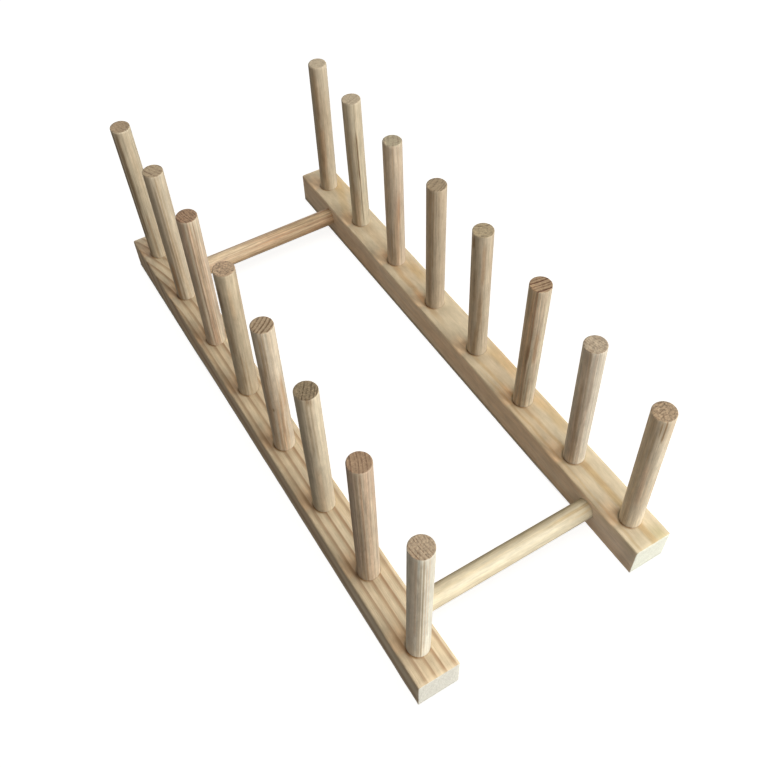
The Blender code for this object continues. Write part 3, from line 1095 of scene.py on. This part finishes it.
# Columns of `marks`, here and for the rails: tone, place across (A, B), start and end
# along, width, softness of the ends, share, wander, and drift along A if any.
STRETCHERS = {
    "rear_stretcher": dict(
        seed=31.0, pith=(18.0, 26.0), spacing=1.7, warp=0.6, late=0.7, streak=1.0,
        tint_amount=0.6, tip=0.4, tone=(0.80, 0.86, 0.88),
        **palette(
            (216, 188, 154), (172, 130, 98), (206, 162, 128), (190, 163, 128), (128, 96, 66)),
        marks=[
            ((0.86, 0.78, 0.68), -1.5, 3.0, 62.0, 130.0, 8.0, 22.0, 0.7, 1.0),
            ((0.74, 0.60, 0.47), -3.6, 3.3, 40.0, 130.0, 0.9, 18.0, 0.8, 0.8),
            ((0.74, 0.60, 0.47), 0.6, 5.0, 50.0, 130.0, 0.8, 18.0, 0.7, 0.8),
            ((0.86, 0.76, 0.66), -4.9, -0.6, -10.0, 130.0, 1.6, 18.0, 0.5, 0.8),
            ((1.16, 1.17, 1.18), -1.4, 4.8, 30.0, 130.0, 0.9, 18.0, 0.7, 0.8),
        ]),
    "front_stretcher": dict(
        seed=37.0, pith=(-30.0, 20.0), spacing=2.2, warp=0.6, late=0.22, streak=0.36,
        tint_amount=0.4, tip=0.4, tone=(0.655, 0.65, 0.635),
        **palette(
            (246, 234, 204), (206, 178, 136), (232, 212, 170), (200, 178, 146), (146, 116, 84)),
        marks=[
            # painted shade: the far upper side darker along the stretcher
            ((0.80, 0.77, 0.70), 4.1, 3.0, -10.0, 130.0, 3.9, 10.0, 1.0, 0.8),
            ((0.86, 0.76, 0.62), -0.6, 5.0, 84.0, 130.0, 1.1, 10.0, 0.8, 0.8),
            ((0.86, 0.76, 0.62), -3.0, 4.0, 96.0, 130.0, 0.9, 10.0, 0.7, 0.8),
            # painted light: the near lower side paler and bluer
            ((1.20, 1.24, 1.38), -4.4, -2.4, -10.0, 130.0, 3.0, 12.0, 1.0, 0.4),
        ]),
}
for name, spec in STRETCHERS.items():
    spec["marks"] = [make_mark(*row) for row in spec["marks"]]
    build_bar(name, Vector((0, 1, 0)), spec)


# =============================================================================
# rails
# =============================================================================

# `faces` are the painted shades of the top and of the other faces, standing in for how the
# light falls on them; the warmth by the seats is painted warm light in the pegs' cast shadows;
# `wide_end` how far the +X face swells at the -Y end.
RAILS = {
    "left_rail": dict(
        seed=41.0, pith=(-75.0, 22.0), spacing=4.5, shift=0.483, warp=0.55, uneven=0.12,
        late=0.86, late_from=0.42, even=0.72, streak=0.34, run_a=-0.011, bend_a=-0.0028,
        bend_from=75.0, tint_amount=0.35, tint_size=7.0, end_rings=0.16, end_rough=0.3,
        wide_end=0.7, faces=((0.935, 0.975, 1.0), (1.02, 1.05, 1.12)),
        warmth=(1.34, 1.20, 1.10),
        # the near-white end grain is partly the wood's colour and partly painted light, for the
        # strong light on the near sawn end
        **palette(
            (208, 187, 155), (152, 116, 82), (196, 168, 132), (216, 214, 203), (195, 189, 174)),
        marks=[
            # painted shade: the -X side of the top a little darker along the rail
            ((0.90, 0.89, 0.88), -8.5, 9.0, -170.0, 170.0, 5.0, 6.0, 1.0, 1.0),
            # painted light: the near part of the -X face paler and bluer
            ((1.14, 1.22, 1.32), -9.75, -2.0, -175.0, -98.0, 11.0, 14.0, 1.0, 1.0),
            # painted contact shadow: a dark line along the foot of the -X face
            ((0.50, 0.47, 0.41), -9.9, -9.2, -30.0, 175.0, 2.9, 50.0, 0.95, 0.3),
        ]),
    "right_rail": dict(
        seed=47.0, pith=(12.0, -46.0), spacing=6.2, shift=0.3, warp=2.6, late=0.16,
        late_from=0.3, even=0.3, streak=0.15, tint_amount=0.5, tint_size=9.0, end_rings=0.20,
        end_rough=0.25, faces=((0.855, 0.863, 0.87), (1.24, 1.23, 1.35)),
        warmth=(1.62, 1.47, 1.37),
        # the near-white end grain is partly the wood's colour and partly painted light, for the
        # strong light on the near sawn end
        **palette(
            (212, 195, 164), (180, 146, 110), (206, 178, 140), (225, 226, 212), (208, 204, 186)),
        marks=[
            ((0.95, 0.82, 0.64), 6.2, 9.0, -46.0, -24.0, 4.6, 6.0, 0.80, 2.0),
            ((0.96, 0.85, 0.68), 6.6, 9.0, -88.0, -62.0, 4.4, 7.0, 0.80, 2.0),
            ((0.88, 0.77, 0.60), 1.0, 9.0, -162.0, -102.0, 2.6, 9.0, 0.95, 1.2),
            ((0.89, 0.79, 0.66), -0.8, 9.0, -110.0, -20.0, 1.5, 12.0, 0.80, 1.8, -0.045),
            ((0.88, 0.79, 0.67), -6.9, 9.0, -160.0, -40.0, 1.0, 14.0, 0.75, 1.2),
            ((0.95, 0.96, 0.80), 5.5, 9.0, -160.0, -150.0, 4.0, 5.0, 0.8, 1.0),
            ((0.92, 0.94, 0.98), 2.0, 9.0, -52.0, -30.0, 3.4, 6.0, 0.6, 2.0),
            ((0.92, 0.76, 0.56), 4.6, 9.0, 36.0, 54.0, 4.4, 8.0, 0.8, 2.0),
            ((0.90, 0.75, 0.60), -5.0, 9.0, 8.0, 62.0, 2.4, 14.0, 0.8, 2.2, 0.02),
            ((0.96, 0.86, 0.70), -6.0, 9.0, 104.0, 146.0, 4.2, 11.0, 0.7, 1.6, 0.34),
            ((1.01, 0.91, 0.74), 6.5, 9.0, 124.0, 144.0, 7.0, 8.0, 0.6, 3.0),
            ((0.90, 0.86, 0.82), -7.0, 9.0, 150.0, 170.0, 9.0, 6.0, 0.8, 2.0),
            ((1.20, 1.22, 1.26), -9.7, 9.0, 64.0, 170.0, 1.1, 12.0, 0.6, 0.2),
            # painted contact shadow: a dark line along the foot of the -X face
            ((0.50, 0.47, 0.41), -9.9, -9.2, -112.0, 175.0, 2.9, 24.0, 0.95, 0.3),
            # painted shade: the top's last few millimetres at the near end a little darker
            ((0.90, 0.91, 0.90), 0.0, 9.0, -190.0, -149.5, 40.0, 3.0, 1.0, 0.5),
            # painted light: the near part of the -X face paler and bluer
            ((1.14, 1.17, 1.27), -9.75, -2.0, -175.0, -122.0, 11.0, 12.0, 1.0, 1.0),
            ((0.93, 0.87, 0.82), -9.75, -2.0, 62.0, 112.0, 11.0, 14.0, 1.0, 1.0),
        ]),
}


def rail_seats(side, lo, hi):
    """Seats of the eight pegs in the top, then of the stretchers in the inner face."""
    seats = []
    for i in range(1, 9):
        start, end, radius = bar_axis(f"{side}_peg_{i}")
        axis = (end - start).normalized()
        depth = (hi.z - start.z) / axis.z
        seats.append((start + axis * depth, axis, depth + SEAT_EXTRA_DEPTH,
                      radius + SEAT_CLEARANCE))
    inward = 1 if side == "left" else -1
    face = hi.x if side == "left" else lo.x
    for bar in STRETCHERS:
        start, end, radius = bar_axis(bar)
        tip = start if side == "left" else end
        seats.append((Vector((face, tip.y, tip.z)), Vector((inward, 0, 0)),
                      abs(face - tip.x) + SEAT_EXTRA_DEPTH, radius + SEAT_CLEARANCE))
    return seats


for name, spec in RAILS.items():
    lo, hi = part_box(name)
    middle = (lo + hi) / 2
    seats = rail_seats(name.split("_")[0], lo, hi)
    first, last = (((seats[i][0] - middle) / MM).y for i in (0, 7))
    spec["seat_row"] = (first, (first - last) / 7)
    spec["half"] = (hi.y - lo.y) / MM / 2
    spec["marks"] = [make_mark(*row) for row in spec["marks"]]
    made[name] = make_rail(name + "_wood", name, seats, spec)
    made[name].data.materials.append(wood_material("pine_" + name, spec))

for name, obj in made.items():
    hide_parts(name)
    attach(obj, ROOT)


# =============================================================================
# floor, world, lights, camera
# =============================================================================

def floor_material():
    """Pale to the camera, with a painted contact shadow along the rails; darker and warm
    to the light it returns.
    """
    material = bpy.data.materials.new("pale_floor")
    material.use_nodes = True
    graph = Graph(material.node_tree)
    graph.tree.nodes.clear()
    camera_ray = graph.add("ShaderNodeLightPath", output="Is Camera Ray")
    paper = graph.add("ShaderNodeBsdfDiffuse", inputs={"Color": (0.50, 0.50, 0.498)})
    haze = graph.add("ShaderNodeEmission", inputs={"Color": (1.0, 1.0, 0.995), "Strength": 0.86})
    seen = graph.add("ShaderNodeAddShader", paper, haze)

    # where a rail meets the floor no light gets in, so a thin dark line of painted contact
    # shadow is drawn along its sides, fading out beyond a y that differs between the two rails
    openness = graph.add("ShaderNodeAmbientOcclusion", samples=8, output="AO",
                         inputs={"Distance": 0.0010})
    position = graph.add("ShaderNodeNewGeometry", output="Position")
    x, y, _ = graph.split(position)
    begins = graph.ramp(x, -0.01, 0.01, low=0.060, high=-0.100)
    lit = graph.fall(y - begins, -0.025, 0.025)
    open_air = graph.calc("MAXIMUM", graph.ramp(openness, 0.54, 0.74), lit)
    painted_contact_shadow = graph.add("ShaderNodeEmission", inputs={"Color": (0.10, 0.085, 0.06), "Strength": 1.0})
    with_contact_shadow = graph.add("ShaderNodeMixShader", open_air, painted_contact_shadow, seen)

    returned = graph.add("ShaderNodeBsdfDiffuse", inputs={"Color": (0.36, 0.33, 0.29)})
    glow = graph.add("ShaderNodeEmission", inputs={"Color": (1.0, 0.93, 0.84), "Strength": 0.045})
    bounce = graph.add("ShaderNodeAddShader", returned, glow)
    either = graph.add("ShaderNodeMixShader", camera_ray, bounce, with_contact_shadow)
    graph.node("ShaderNodeOutputMaterial", either)
    return material


def studio_world():
    """White to the camera, a dim warm light to everything else."""
    world = bpy.data.worlds.new("studio")
    SCENE.world = world
    world.use_nodes = True
    graph = Graph(world.node_tree)
    graph.tree.nodes.clear()
    camera_ray = graph.add("ShaderNodeLightPath", output="Is Camera Ray")
    dim = graph.add("ShaderNodeBackground",
                    inputs={"Color": (1.0, 0.945, 0.87), "Strength": 0.23})
    bright = graph.add("ShaderNodeBackground", inputs={"Color": (1, 1, 1), "Strength": 1.0})
    either = graph.add("ShaderNodeMixShader", camera_ray, dim, bright)
    graph.node("ShaderNodeOutputWorld", either)


def area_light(name, direction, distance, size, power, colour, floor_only=False):
    """A disk aimed just above the origin. It lights all but the floor, or the floor only."""
    data = bpy.data.lights.new(name, "AREA")
    data.shape = "DISK"
    data.size = size
    data.energy = power
    data.color = colour
    obj = bpy.data.objects.new(name, data)
    SCENE.collection.objects.link(obj)
    direction = Vector(direction).normalized()
    obj.location = Vector((0, 0, 0.03)) + direction * distance
    obj.rotation_mode = "QUATERNION"
    obj.rotation_quaternion = direction.to_track_quat("Z", "Y")
    receivers = bpy.data.collections.new(name + "_links")
    receivers.objects.link(floor)
    obj.light_linking.receiver_collection = receivers
    if not floor_only:
        receivers.collection_objects[0].light_linking.link_state = "EXCLUDE"


def add_camera():
    camera = bpy.data.objects.new("camera", bpy.data.cameras.new("camera"))
    SCENE.collection.objects.link(camera)
    camera.data.sensor_width = 36.0
    camera.data.lens = CAM_LENS
    camera.data.clip_start = 0.01
    camera.data.clip_end = 50.0
    level = math.cos(CAM_EL)
    back = Vector((math.sin(CAM_AZ) * level, -math.cos(CAM_AZ) * level, math.sin(CAM_EL)))
    up = back.cross(CAM_RIGHT)
    cos, sin = math.cos(CAM_ROLL), math.sin(CAM_ROLL)
    rolled_right = CAM_RIGHT * cos + up * sin
    rolled_up = up * cos - CAM_RIGHT * sin
    placement = Matrix((rolled_right, rolled_up, back)).transposed().to_4x4()
    placement.translation = CAM_AT
    camera.matrix_world = placement
    SCENE.camera = camera


floor_bm = bmesh.new()
bmesh.ops.create_grid(floor_bm, x_segments=1, y_segments=1, size=4.0)
floor = mesh_object("floor", floor_bm)
floor.location.z = -0.00015
floor.data.materials.append(floor_material())

studio_world()

KEY_RISE = math.radians(34)
key_direction = (0.743 * math.cos(KEY_RISE), -0.669 * math.cos(KEY_RISE), math.sin(KEY_RISE))
area_light("key", direction=key_direction, distance=1.6, size=1.30, power=29.0,
           colour=(0.985, 0.99, 0.98))
area_light("fill", direction=(0.12, -0.86, 0.78), distance=1.8, size=1.6, power=23.5,
           colour=(1.0, 0.985, 0.965))
area_light("back", direction=(0.12, 0.97, 0.20), distance=1.8, size=1.4, power=10.0,
           colour=(1.0, 0.98, 0.95))
area_light("floor_wash", direction=(0.0, 0.0, 1.0), distance=2.2, size=3.0, power=15.0,
           colour=(1.0, 1.0, 1.0), floor_only=True)

add_camera()
SCENE.view_settings.view_transform = "Standard"
SCENE.view_settings.look = "None"
